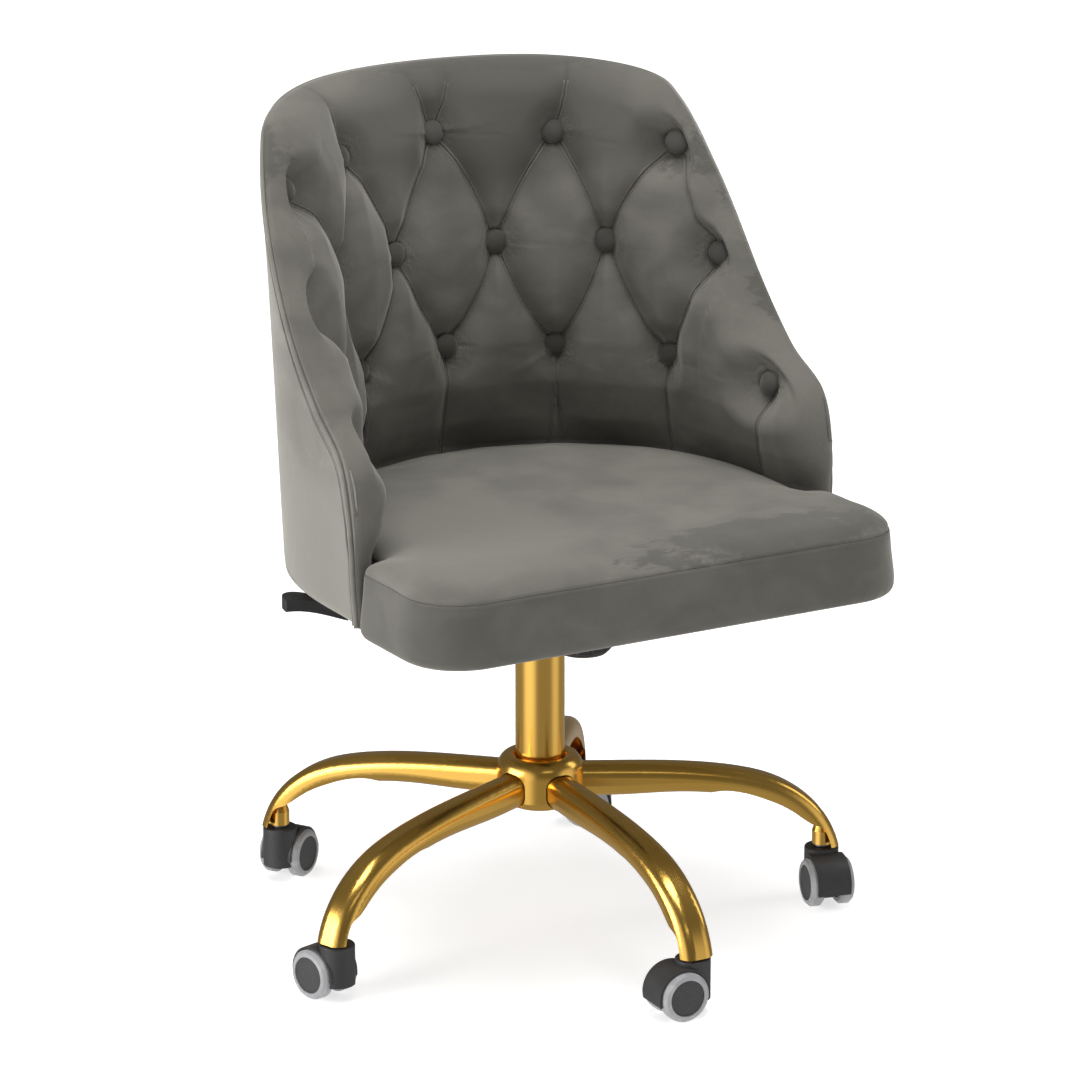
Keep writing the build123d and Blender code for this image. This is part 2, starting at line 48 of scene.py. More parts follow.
class Sock:  # wraps a node socket so that maths reads as maths
    def __init__(self, tree, value):
        self.tree = tree
        self.value = value

    def math(self, operation, *others, swap=False):
        node = self.tree.nodes.new("ShaderNodeMath")
        node.operation = operation
        inputs = [self, *others]
        if swap:
            inputs = inputs[::-1]
        for place, item in enumerate(inputs):
            if isinstance(item, Sock):
                self.tree.links.new(item.value, node.inputs[place])
            else:
                node.inputs[place].default_value = item
        return Sock(self.tree, node.outputs[0])

    def __add__(self, other): return self.math("ADD", other)
    def __radd__(self, other): return self.math("ADD", other)
    def __sub__(self, other): return self.math("SUBTRACT", other)
    def __rsub__(self, other): return self.math("SUBTRACT", other, swap=True)
    def __mul__(self, other): return self.math("MULTIPLY", other)
    def __rmul__(self, other): return self.math("MULTIPLY", other)
    def __truediv__(self, other): return self.math("DIVIDE", other)
    def power(self, other): return self.math("POWER", other)
    def absolute(self): return self.math("ABSOLUTE")


class Finish:  # a material being built, with one method for any node
    def __init__(self, name):
        self.material = bpy.data.materials.new(name)
        self.material.use_nodes = True
        self.tree = self.material.node_tree
        self.shader = self.tree.nodes["Principled BSDF"]

    def node(self, kind, settings=None, inputs=None, output=0):
        made = self.tree.nodes.new(kind)
        for key, value in (settings or {}).items():
            if key == "stops":
                ramp = made.color_ramp
                for place, colour in value[2:]:
                    ramp.elements.new(place).color = colour
                for element, (place, colour) in zip((ramp.elements[0], ramp.elements[-1]), value[:2]):
                    element.position = place
                    element.color = colour
            else:
                setattr(made, key, value)
        for key, value in (inputs or {}).items():
            if isinstance(value, Sock):
                self.tree.links.new(value.value, made.inputs[key])
            else:
                made.inputs[key].default_value = value
        return Sock(self.tree, made.outputs[output])

    def place(self, scale=(1, 1, 1), turn=(0, 0, 0)):
        coords = self.node("ShaderNodeTexCoord", output=3)
        return self.node("ShaderNodeMapping", None, {"Vector": coords, "Scale": scale, "Rotation": turn})

    def axes(self):
        split = self.tree.nodes.new("ShaderNodeSeparateXYZ")
        coords = self.node("ShaderNodeTexCoord", output=3)
        self.tree.links.new(coords.value, split.inputs[0])
        return [Sock(self.tree, out) for out in split.outputs]

    def noise(self, size, detail=3, scale=(1, 1, 1), turn=(0, 0, 0), roughness=0.5, distortion=0.0):
        return self.node("ShaderNodeTexNoise", None, {
            "Vector": self.place(scale, turn), "Scale": 1 / size, "Detail": detail,
            "Roughness": roughness, "Distortion": distortion})

    def smooth(self, value, low, high):
        return self.node("ShaderNodeMapRange", {"interpolation_type": "SMOOTHSTEP"}, {
            "Value": value, "From Min": low, "From Max": high})

    def mix(self, factor, one, two):
        made = self.tree.nodes.new("ShaderNodeMix")
        made.data_type = "RGBA"
        for place, item in ((0, factor), (6, one), (7, two)):
            if isinstance(item, Sock):
                self.tree.links.new(item.value, made.inputs[place])
            else:
                made.inputs[place].default_value = item
        return Sock(self.tree, made.outputs[2])

    def bump(self, height, strength, distance, under=None):
        inputs = {"Height": height, "Strength": strength, "Distance": distance}
        if under is not None:
            inputs["Normal"] = under
        return self.node("ShaderNodeBump", None, inputs)

    def attribute(self, name):
        return self.node("ShaderNodeAttribute", {"attribute_name": name}, None, 2)

    def use(self, **values):
        names = {"colour": "Base Color", "rough": "Roughness", "metal": "Metallic", "normal": "Normal",
                 "sheen": "Sheen Weight", "sheenRough": "Sheen Roughness", "sheenTint": "Sheen Tint",
                 "specular": "Specular IOR Level", "coat": "Coat Weight", "coatRough": "Coat Roughness"}
        for key, value in values.items():
            socket = self.shader.inputs[names[key]]
            if isinstance(value, Sock):
                self.tree.links.new(value.value, socket)
            else:
                socket.default_value = value
        return self.material


def rgb(r, g, b):
    return (r, g, b, 1.0)


def scaled(colour, k):
    return (colour[0] * k, colour[1] * k, colour[2] * k, 1.0)


velvetLook = {
    "pile": 0.0011, "strand": 0.0022, "patch": 0.060, "wide": 0.20, "crush": 0.017, "lump": 0.035,
    "sheen": 0.50, "sheenRough": 0.40, "sheenTint": (0.78, 0.76, 0.70),
    "brushedDark": 0.84, "brushedLight": 1.18, "flattened": 0.55, "inFold": 0.45,
    "creaseWidth": 0.0050, "tugWidth": 0.0045, "seamWidth": 0.0010, "lipAway": 0.0030, "lipWidth": 0.0024,
}
# one velvet in lit and shaded copies: the back is darker as painted shade, the seat lighter and the outer
# cover lightest as painted light; button and pleat are darker
velvetLitShadedTones = {
    "back": (0.135, 0.129, 0.113), "seat": (0.150, 0.144, 0.126), "outer": (0.185, 0.178, 0.158),
    "button": (0.066, 0.063, 0.056), "pleat": (0.118, 0.113, 0.099),
}


def velvet(name, base, creases=False, seamZ=None, crushed=(), naps=(), boxing=1.0):
    m = Finish(name)
    x, y, z = m.axes()
    look = velvetLook
    wide = m.noise(look["wide"], 2)
    patch = m.noise(look["patch"], 4, (1, 1, 1.5), distortion=0.5)
    pile = m.noise(look["pile"], 2)
    strands = m.noise(look["strand"], 3, (1, 1, 0.2))
    brushed = m.smooth(patch * 0.6 + wide * 0.4, 0.36, 0.66)
    colour = m.mix(brushed, scaled(base, look["brushedDark"]), scaled(base, look["brushedLight"]))

    def gone(place, size):
        a, b, c = [((axis - middle) / reach).power(2) for axis, middle, reach in zip((x, y, z), place, size)]
        return (a + b + c).power(0.5)

    for place, size, tone in naps:  # broad patches of painted light and shade: a tone below 1 darkens, above 1 lightens
        inside = 1 - m.smooth(gone(place, size) + (wide - 0.5) * 0.6, 0.55, 1.15)
        colour = m.mix(inside, colour, scaled(base, tone))
    for place, size in crushed:  # flattened pile, dark and ragged
        ragged = m.noise(look["crush"], 8, (0.55, 1, 1), roughness=0.74, distortion=0.3)
        mark = m.smooth(ragged * 1.3 + patch * 0.5 - gone(place, size) * 0.50, 0.38, 0.56)
        colour = m.mix(mark * 0.66, colour, scaled(base, look["flattened"]))
    colour = m.mix(m.smooth(pile, 0.35, 0.75) * 0.22, colour, scaled(base, look["flattened"]))
    normal = m.bump(pile * 0.55 + strands * 0.45, 0.30, 0.0005)
    normal = m.bump(m.noise(look["lump"], 2, distortion=0.3), 0.22, 0.0022, normal)
    if creases:
        # painted shade darkens the cloth along the pleat folds
        inFold = (1 - m.smooth(m.attribute("pleat"), 0.0, look["creaseWidth"])) * m.attribute("pleatFade")
        tug = 1 - m.smooth(m.attribute("stretch"), 0.0, look["tugWidth"])
        tug = tug * m.smooth(m.noise(0.05, 2), 0.42, 0.6)
        gather = (1 - m.smooth(m.attribute("button"), 0.012, 0.036)) * m.noise(0.006, 2)
        normal = m.bump(gather, 0.6, 0.004, normal)
        normal = m.bump(1 - tug * 0.6, 0.6, 0.0012, normal)
        colour = m.mix(inFold * 0.55, colour, scaled(base, look["inFold"]))
        # painted shade darkens the cloth round each button
        buttonShade = 1 - m.smooth(m.attribute("button"), 0.0115, 0.017)
        colour = m.mix(buttonShade * 0.75, colour, scaled(base, 0.30))
    if seamZ is not None:
        gap = (z - seamZ).absolute()
        seam = 1 - m.smooth(gap, 0.0, look["seamWidth"])
        lips = 1 - m.smooth((gap - look["lipAway"]).absolute(), 0.0, look["lipWidth"])
        normal = m.bump(1 - seam + lips * 0.35, 0.9, 0.0012, normal)
        side = m.smooth(z, seamZ, seamZ - 0.002)  # the boxing below the seam is another strip of cloth, and it is painted darker: painted shade
        shadedBoxing = m.mix(brushed, scaled(base, boxing * 0.86), scaled(base, boxing * 1.12))
        colour = m.mix(side, colour, shadedBoxing)
        # the seam line itself is painted dark: painted shade in its groove
        colour = m.mix(seam * 0.6, colour, scaled(base, 0.40))
    return m.use(colour=colour, rough=0.86 + pile * 0.08, normal=normal, sheen=look["sheen"], specular=0.2,
                 sheenRough=look["sheenRough"], sheenTint=rgb(*look["sheenTint"]))


def goldPlate():
    m = Finish("polishedGold")
    smear = m.noise(0.06, 3, distortion=0.6)
    scuff = m.smooth(m.noise(0.004, 4, (1, 1, 0.3)), 0.62, 0.75)
    tone = m.mix(m.smooth(m.noise(0.12, 2), 0.35, 0.7), rgb(0.88, 0.52, 0.11), rgb(0.92, 0.56, 0.13))
    rough = 0.19 + smear * 0.06 + scuff * 0.03
    return m.use(colour=tone, metal=1.0, rough=rough, normal=m.bump(m.noise(0.08, 1), 0.02, 0.0010))


def blackPlastic(name, tone, grainSize, grain):
    m = Finish(name)
    specks = m.noise(grainSize, 2)
    wear = m.smooth(m.noise(0.03, 4), 0.45, 0.75)
    colour = m.mix(wear * 0.5, rgb(tone, tone, tone * 1.02), rgb(tone * 1.35, tone * 1.33, tone * 1.3))
    colour = m.mix(m.smooth(specks, 0.5, 0.7) * 0.35, colour, rgb(tone * 1.9, tone * 1.9, tone * 1.9))
    return m.use(colour=colour, rough=0.45 + wear * 0.12, normal=m.bump(specks, grain, 0.0004))


def treadRubber():
    m = Finish("treadRubber")
    dust = m.smooth(m.noise(0.012, 4), 0.4, 0.75)
    colour = m.mix(dust, rgb(0.335, 0.335, 0.345), rgb(0.43, 0.43, 0.435))
    return m.use(colour=colour, rough=0.42 + dust * 0.15, normal=m.bump(m.noise(0.0012, 2), 0.12, 0.0003))


def metal(name, tone, rough, streak):
    m = Finish(name)
    lines = m.noise(0.002, 3, (1, 1, streak))
    colour = m.mix(m.smooth(lines, 0.35, 0.7), rgb(*[c * 0.75 for c in tone]), rgb(*tone))
    return m.use(colour=colour, metal=1.0, rough=rough + lines * 0.12, normal=m.bump(lines, 0.08, 0.0003))


def powderCoat():
    m = Finish("powderCoat")
    peel = m.noise(0.0016, 3)
    colour = m.mix(m.smooth(m.noise(0.04, 3), 0.4, 0.7), rgb(0.018, 0.018, 0.02), rgb(0.035, 0.035, 0.038))
    return m.use(colour=colour, rough=0.38 + peel * 0.15, normal=m.bump(peel, 0.25, 0.0004))


def dustCloth(name):
    m = Finish(name)
    fibres = m.noise(0.0012, 4, (1, 0.25, 1))
    fibresAcross = m.noise(0.0012, 4, (0.25, 1, 1))
    web = (fibres + fibresAcross) * 0.5
    colour = m.mix(m.smooth(web, 0.4, 0.62), rgb(0.010, 0.010, 0.011), rgb(0.032, 0.032, 0.034))
    return m.use(colour=colour, rough=0.85, normal=m.bump(web, 0.4, 0.0004))


gold = goldPlate()
finishes = {
    "gold": gold,
    "bush_plastic": blackPlastic("bushPlastic", 0.02, 0.0012, 0.15),
    "bearing_steel": metal("zincSteel", (0.62, 0.64, 0.70), 0.25, 0.3),
    "spring_steel": metal("springSteel", (0.30, 0.30, 0.32), 0.35, 0.5),
    "dark_steel": powderCoat(),
    "plywood": dustCloth("boardCloth"),  # the board is wrapped in black cloth
    "shell_board": dustCloth("dustCloth"),
    "velvet": velvet("velvetPlain", velvetLitShadedTones["seat"]),
    "black_plastic": blackPlastic("blackPlastic", 0.020, 0.0010, 0.22),
    "hood_plastic": blackPlastic("hoodPlastic", 0.036, 0.0011, 0.25),
    "hub_plastic": blackPlastic("hubPlastic", 0.050, 0.0014, 0.55),
    "tread_rubber": treadRubber(),
}
for row in frame["record"]["subparts"]:
    node = frame["nodes"][row["node"]]
    node.data.materials.clear()
    node.data.materials.append(finishes[row["material_slot"]])
print("stage: finishes")


bucket = {
    "bottomZ": 0.383, "topZ": 0.853, "radiusLow": 0.272, "radiusHigh": 0.286,
    "centreLow": -0.042, "centreHigh": -0.023, "sideX": 0.270, "sideY": -0.048,
    "frontX": 0.272, "frontFlare": 0.015, "frontY": -0.128, "backShare": 0.60, "midRadius": 0.279,
    # side view of the rim, from the foot of the front edge to the top of the back
    "rim": [(-0.119, 0.380), (-0.114, 0.430), (-0.112, 0.488), (-0.094, 0.543), (-0.040, 0.582),
            (0.021, 0.647), (0.085, 0.741), (0.125, 0.803), (0.155, 0.828), (0.225, 0.842), (0.300, 0.8435)],
}


def through(points, steps=24):  # a smooth line through a few points
    p = np.array(points, float)
    p = np.vstack([2 * p[0] - p[1], p, 2 * p[-1] - p[-2]])
    t = np.linspace(0, 1, steps, endpoint=False)[:, None]
    parts = []
    for a, b, c, d in zip(p[:-3], p[1:-2], p[2:-1], p[3:]):
        parts.append(0.5 * (2 * b + (c - a) * t + (2 * a - 5 * b + 4 * c - d) * t ** 2
                            + (3 * b - a - 3 * c + d) * t ** 3))
    return np.vstack([*parts, p[-2:-1]])


rimLine = through(bucket["rim"])
rimCorner = int(np.argmax(rimLine[:, 1] > 0.490))


def riseOf(z):
    return (z - bucket["bottomZ"]) / (bucket["topZ"] - bucket["bottomZ"])


def radiusAt(z):
    return bucket["radiusLow"] + (bucket["radiusHigh"] - bucket["radiusLow"]) * riseOf(z)


def centreAt(z):
    return bucket["centreLow"] + (bucket["centreHigh"] - bucket["centreLow"]) * riseOf(z)


def frontAt(z):  # how far forward the front edge stands at height z
    low = rimLine[:rimCorner + 1]
    return np.interp(z, low[:, 1], low[:, 0])


def rimAt(y):  # height of the rim above a point of the side
    high = rimLine[rimCorner:]
    return np.interp(y, high[:, 0], high[:, 1])


def ease(x):
    x = np.clip(x, 0, 1)
    return x * x * (3 - 2 * x)


def quarter(x):  # a quarter-round from 0 to 1
    return np.sqrt(np.maximum(0, 1 - (1 - np.clip(x, 0, 1)) ** 2))


def standsOut(grow, z):  # beside the seat block the front edge keeps back
    return grow * (0.45 + 0.55 * ease((z - 0.452) / 0.022))


def hermite(y, ya, xa, ma, yb, xb, mb):
    h = yb - ya
    t = (y - ya) / h
    value = ((2 * t ** 3 - 3 * t ** 2 + 1) * xa + (t ** 3 - 2 * t ** 2 + t) * h * ma
             + (3 * t ** 2 - 2 * t ** 3) * xb + (t ** 3 - t ** 2) * h * mb)
    slope = (6 * t ** 2 - 6 * t) * (xa - xb) / h + (3 * t ** 2 - 4 * t + 1) * ma + (3 * t ** 2 - 2 * t) * mb
    return value, slope


# a point of the wall: station runs from -1, the right front edge, to 1, the left one
def wallPoint(station, z, inset, grow=0.0):
    station, z, inset = np.broadcast_arrays(station, z, inset)
    side = np.sign(station + 1e-12)
    share = np.abs(station)
    radius, centre = radiusAt(z), centreAt(z)
    split = bucket["backShare"]
    angle = np.minimum(share / split, 1) * (pi / 3)
    backX, backY = radius * np.sin(angle), centre + radius * np.cos(angle)
    t = np.clip((share - split) / (1 - split), 0, 1)
    startY = centre + radius / 2
    y = startY + t * (frontAt(z) - standsOut(grow, z) - startY)
    frontX = bucket["frontX"] + bucket["frontFlare"] * riseOf(z)
    xa, ma = hermite(y, startY, radius * sin(pi / 3), -0.577, bucket["sideY"], bucket["sideX"], -0.02)
    xb, mb = hermite(y, bucket["sideY"], bucket["sideX"], -0.02, bucket["frontY"], frontX, -0.10)
    rear = y > bucket["sideY"]
    x, slope = np.where(rear, xa, xb), np.where(rear, ma, mb)
    length = np.sqrt(1 + slope ** 2)
    onSide = share > split
    px = np.where(onSide, x, backX)
    py = np.where(onSide, y, backY)
    nx = np.where(onSide, 1 / length, np.sin(angle))
    ny = np.where(onSide, -slope / length, np.cos(angle))
    return np.stack([side * (px - nx * inset), py - ny * inset, z], -1)


def wallArc(station, z, grow=0.0):  # distance along the wall from the middle of the back
    share = np.abs(station)
    split = bucket["backShare"]
    angle = np.minimum(share / split, 1) * (pi / 3)
    t = np.clip((share - split) / (1 - split), 0, 1)
    startY = centreAt(z) + radiusAt(z) / 2
    return np.sign(station) * (bucket["midRadius"] * angle + t * (startY - frontAt(z) + standsOut(grow, z)))


def rimHeight(station):  # height of the rim at each station, by halving
    low = np.full(np.shape(station), 0.40)
    high = np.full(np.shape(station), 0.86)
    for _ in range(40):
        middle = (low + high) / 2
        y = wallPoint(station, middle, 0.0)[..., 1]
        above = rimAt(y) > middle
        low = np.where(above, middle, low)
        high = np.where(above, high, middle)
    return np.maximum(low, 0.493)


# distance to the nearest of some lines, and the blend of its two end values there
def toLines(x, y, lines):
    best = np.full(np.shape(x), 9.0)
    value = np.zeros(np.shape(x))
    for (xa, ya, va), (xb, yb, vb) in lines:
        dx, dy = xb - xa, yb - ya
        t = np.clip(((x - xa) * dx + (y - ya) * dy) / max(dx * dx + dy * dy, 1e-12), 0, 1)
        gone = np.hypot(x - xa - t * dx, y - ya - t * dy)
        nearer = gone < best
        best = np.where(nearer, gone, best)
        value = np.where(nearer, va + (vb - va) * t, value)
    return best, value


def edgeDistance(arc, z, grow):  # distance in the unrolled wall to its rim and front edge
    stations = 1 - (1 - np.linspace(0, 1, 160)) ** 2  # closest together where the rim turns down
    tops = rimHeight(stations)
    line = [(s, t + grow, 0) for s, t in zip(wallArc(stations, tops, grow), tops)]
    foot = np.linspace(tops[-1], 0.375, 60)
    line += [(s, t, 0) for s, t in zip(wallArc(np.ones(60), foot, grow), foot)]
    return toLines(np.abs(arc), z, zip(line[:-1], line[1:]))[0]


# a closed panel on the wall: rows run up its inner face, over the rim and down its outer face;
# they are closest together at the rim, and columns at the two ends
def wallPanel(name, columns, inner, outer, insetInner, insetOuter, bottom, grow, extra=None):
    up = 1 - (1 - np.linspace(0, 1, inner + 1)) ** 1.3
    picks = np.unique(np.round(inner * np.linspace(0, 1, outer + 1) ** 1.8).astype(int))
    down = up[::-1][picks][1:]
    share = np.concatenate([up, down, [0.0]])
    onInside = np.concatenate([np.ones(inner + 1), np.zeros(len(down)), np.ones(1)])
    bm = bmesh.new()
    bmesh.ops.create_grid(bm, x_segments=columns, y_segments=len(share) - 1, size=1)
    flat = np.array([v.co[:2] for v in bm.verts])
    order = np.lexsort((flat[:, 0].round(5), flat[:, 1].round(5)))
    bm.verts.ensure_lookup_table()
    u = np.linspace(-1, 1, columns + 1)
    station = np.sign(u) * (1 - (1 - np.abs(u)) ** 1.25)
    tops = rimHeight(station) + grow
    stationGrid, shareGrid = np.meshgrid(station, share)
    inside = np.meshgrid(station, onInside)[1]
    # both faces share their heights at the two ends, so that the ends close
    ends = np.concatenate([[1.0], down])
    closest = ends[np.abs(share[:, None] - ends[None, :]).argmin(1)]
    shareGrid[:, 0] = shareGrid[:, -1] = closest
    z = bottom + (tops - bottom) * shareGrid
    arc = wallArc(stationGrid, z, grow)
    d = edgeDistance(arc, z, grow)
    d[:, 0] = d[:, -1] = d[inner, :] = 0
    inset = np.where(inside > 0.5, insetInner(arc, z, d), insetOuter(arc, z, d))
    at = wallPoint(stationGrid, z, inset, grow)
    for index, point in zip(order, at.reshape(-1, 3)):
        bm.verts[index].co = point
    for key, values in (extra(arc, z, inside) if extra else {}).items():
        layer = bm.verts.layers.float.new(key)
        bm.verts.ensure_lookup_table()
        for index, value in zip(order, values.ravel()):
            bm.verts[index][layer] = value
    bmesh.ops.remove_doubles(bm, verts=bm.verts, dist=0.00002)
    bmesh.ops.dissolve_degenerate(bm, edges=bm.edges, dist=0.00001)
    bmesh.ops.recalc_face_normals(bm, faces=bm.faces)
    return finishMesh(bm, name)


def finishMesh(bm, name, flat=False):
    mesh = bpy.data.meshes.new(name)
    bm.to_mesh(mesh)
    bm.free()
    mesh.polygons.foreach_set("use_smooth", [not flat] * len(mesh.polygons))
    piece = bpy.data.objects.new(name, mesh)
    scene.collection.objects.link(piece)
    return piece


def dress(piece, material, body):
    piece.data.materials.clear()
    piece.data.materials.append(material)
    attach(piece, body)
    return piece


tuft = {
    # distance along the wall and height of each button, one half; the other half mirrors it
    "rows": [[(0, 0.779), (0.146, 0.773), (0.284, 0.765)],
             [(0.071, 0.665), (0.209, 0.6655), (0.345, 0.660)],
             [(0, 0.5625), (0.144, 0.5555), (0.292, 0.5535), (0.443, 0.5455)]],
    # height, stuffed thickness
    "thickness": [(0.384, 0.0178), (0.403, 0.0178), (0.409, 0.034), (0.450, 0.036), (0.480, 0.052),
                  (0.520, 0.065), (0.563, 0.072), (0.672, 0.072), (0.776, 0.064), (0.820, 0.056),
                  (0.860, 0.048)],
    "valley": 0.0195, "valleyWidth": 0.019, "dimple": 0.0085, "outerDimple": 0.017, "dimpleFlat": 0.010,
    "dimpleSlope": 0.030, "outerSlope": 0.038, "saddle": 0.55,
    "crushed": [((0.10, 0.24, 0.848), (0.16, 0.08, 0.016)), ((0.25, 0.12, 0.73), (0.04, 0.06, 0.05)),
                ((0.27, 0.01, 0.62), (0.03, 0.04, 0.03)), ((-0.25, 0.12, 0.80), (0.04, 0.05, 0.03))],
    # place, reach and tone of each broad patch of painted shade and painted light; a tone below 1 darkens,
    # above 1 lightens
    "naps": [((0.07, 0.22, 0.790), (0.22, 0.14, 0.085), 0.62),
             ((-0.10, 0.22, 0.800), (0.09, 0.12, 0.05), 0.80),
             ((0.26, -0.02, 0.53), (0.06, 0.12, 0.08), 1.15)],
    "rollRadius": 0.034, "outside": 0.0025, "least": 0.0150, "behind": 0.0142, "wrap": 0.0095,
    "shoulder": 0.11, "grow": 0.004, "bottom": 0.3855, "puff": 0.003,
    "roll": 0.86,  # share of the thickness that the edge roll reaches; the rest comes over the shoulder
}


def mirrored(points):
    return sorted({(side * s, z) for s, z in points for side in (-1, 1)})


buttonRows = [mirrored(row) for row in tuft["rows"]]
pleatPaths = []
pleatSegments = []
stretchSegments = []
foldedBelow = 0.09  # buttons of neighbouring rows nearer than this along the wall share a fold


def fold(start, end, deepStart, deepEnd, bow=0.0, steps=12):  # a bowed fold line
    a, b = np.array(start), np.array(end)
    across = np.array([b[1] - a[1], a[0] - b[0]])
    across = across / np.linalg.norm(across)
    knots = []
    for k in range(steps + 1):
        t = k / steps
        point = a + (b - a) * t + across * bow * sin(pi * t)
        knots.append((point[0], point[1], deepStart + (deepEnd - deepStart) * t))
    pleatPaths.append(knots)
    pleatSegments.extend(zip(knots[:-1], knots[1:]))


for side in (-1, 1):
    rowA, rowB, rowC = tuft["rows"]
    for upper, lower, bow in ((rowA, rowB, -0.006), (rowB, rowC, 0.007)):
        for a in upper:
            for b in lower:
                if abs(a[0] - b[0]) < foldedBelow:
                    out = 1 if b[0] > a[0] else -1
                    fold((side * a[0], a[1]), (side * b[0], b[1]), 1.0, 1.0, side * bow * out)
    fold((0, 0.779), (side * 0.030, 0.866), 0.9, 0.15, side * 0.004)
    fold((side * 0.146, 0.773), (side * 0.163, 0.866), 0.95, 0.25, side * 0.007)
    fold((side * 0.284, 0.765), (side * 0.296, 0.815), 0.85, 0.05, side * 0.005)
    fold((side * 0.443, 0.5455), (side * 0.412, 0.590), 0.5, 0.0, side * 0.005)
    fold((side * 0.443, 0.5455), (side * 0.424, 0.440), 0.6, 0.4, side * -0.008)
    fold((side * 0.292, 0.5535), (side * 0.290, 0.430), 0.9, 0.6, side * 0.005)
    fold((side * 0.144, 0.5555), (side * 0.158, 0.430), 0.9, 0.55, side * 0.005)
    fold((side * 0.144, 0.5555), (side * 0.128, 0.430), 0.7, 0.35, side * -0.004)
    for row in tuft["rows"]:
        for a, b in zip(row[:-1], row[1:]):
            stretchSegments.append(((side * a[0], a[1], 1.0), (side * b[0], b[1], 1.0)))
fold((0, 0.5625), (0, 0.430), 0.9, 0.6, 0.003)


def toButtons(arc, z):
    nearest = np.full(np.shape(arc), 9.0)
    for row in buttonRows:
        for s, height in row:
            nearest = np.minimum(nearest, np.hypot(arc - s, z - height))
    return nearest


def padBody(z, d):  # the stuffed thickness before tufting
    full = np.interp(z, *np.array(tuft["thickness"]).T)
    roll = (full * tuft["roll"] - tuft["outside"]) * quarter(d / tuft["rollRadius"])
    return tuft["outside"] + roll + full * (1 - tuft["roll"]) * ease(d / tuft["shoulder"])


def padFace(arc, z, d):
    line, depth = toLines(arc, z, pleatSegments)
    nearest = toButtons(arc, z)
    cut = tuft["valley"] * depth * np.exp(-line / tuft["valleyWidth"])
    cut = cut * ease(d / tuft["rollRadius"])
    cut = cut + tuft["dimple"] * (1 - ease((nearest - tuft["dimpleFlat"]) / tuft["dimpleSlope"]))
    outermost = np.full(np.shape(arc), 9.0)
    for row in tuft["rows"]:
        past = np.abs(arc) - row[-1][0]
        past = past * np.where(past > 0, tuft["saddle"], 1)  # the pull runs on over the roll
        outermost = np.minimum(outermost, np.hypot(past, z - row[-1][1]))
    cut = cut + tuft["outerDimple"] * (1 - ease((outermost - tuft["dimpleFlat"]) / tuft["outerSlope"]))
    cut = cut * ease(d / 0.014) * (0.30 + 0.70 * ease((z - 0.44) / 0.05))
    puff = tuft["puff"] * np.sin(arc * 31 + 1.3) * np.sin(z * 27 + 0.4)
    puff = puff * ease(d / 0.05) * ease((z - 0.45) / 0.03)
    least = tuft["outside"] + tuft["least"] * quarter(d / 0.012)  # the pad always hides the cover's edge
    return np.maximum(padBody(z, d) - cut + puff, least)


def padBehind(arc, z, d):  # it wraps over the shell's edge and then lies on the shell's inside
    step = ease((d - tuft["wrap"]) / 0.003)
    return tuft["outside"] + (tuft["behind"] - tuft["outside"]) * step


def padMarks(arc, z, inside):
    line, depth = toLines(arc, z, pleatSegments)
    stretch = toLines(arc, z, stretchSegments)[0]
    nearest = toButtons(arc, z)
    fade = ease(depth / 0.7) * ease((nearest - tuft["dimpleFlat"]) / 0.006) * inside
    return {"pleat": line, "pleatFade": fade, "stretch": stretch, "button": nearest}


backPad = wallPanel("backPad", 330, 165, 36, padFace, padBehind, tuft["bottom"], tuft["grow"], padMarks)
backVelvet = velvet("velvetBack", velvetLitShadedTones["back"], creases=True,
                    crushed=tuft["crushed"], naps=tuft["naps"])
dress(backPad, backVelvet, "tilt")
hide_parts("back_pad")
print("stage: back pad", len(backPad.data.polygons), "faces")


def stationOf(s, z, grow):  # the station that lies a distance s along the wall
    split = bucket["backShare"]
    back = bucket["midRadius"] * pi / 3
    side = centreAt(z) + radiusAt(z) / 2 - frontAt(z) + standsOut(grow, z)
    past = np.abs(s) - back
    share = np.where(past < 0, np.abs(s) / back * split, split + past / side * (1 - split))
    return np.sign(s) * share


def padPoints(s, z, lift=0.0, tufted=True):  # points of the pad's inner face
    s, z = np.broadcast_arrays(np.asarray(s, float), np.asarray(z, float))
    d = edgeDistance(s, z, tuft["grow"])
    inset = padFace(s, z, d) if tufted else padBody(z, d)
    return wallPoint(stationOf(s, z, tuft["grow"]), z, inset + lift, tuft["grow"])


button = {"radius": 0.0122, "height": 0.0060, "proud": 0.0046, "reach": 0.007}
bm = bmesh.new()
for row in buttonRows:
    for s, z in row:
        step = button["reach"]
        sides = padPoints([s + step, s - step, s, s], [z, z, z + step, z - step], tufted=False)
        out = Vector(sides[0] - sides[1]).cross(Vector(sides[2] - sides[3])).normalized()
        place = Vector(padPoints([s], [z])[0])
        if out.dot(Vector((0, -0.03, z)) - place) < 0:
            out = -out
        turn = out.to_track_quat("Z", "Y").to_matrix().to_4x4()
        made = bmesh.ops.create_uvsphere(bm, u_segments=32, v_segments=20, radius=button["radius"])
        bmesh.ops.scale(bm, vec=(1, 1, button["height"] / button["radius"]), verts=made["verts"])
        move = Matrix.Translation(place + out * button["proud"]) @ turn
        bmesh.ops.transform(bm, matrix=move, verts=made["verts"])
buttonVelvet = velvet("velvetButton", velvetLitShadedTones["button"])
buttons = dress(finishMesh(bm, "backButtons"), buttonVelvet, "tilt")
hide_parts("back_buttons")

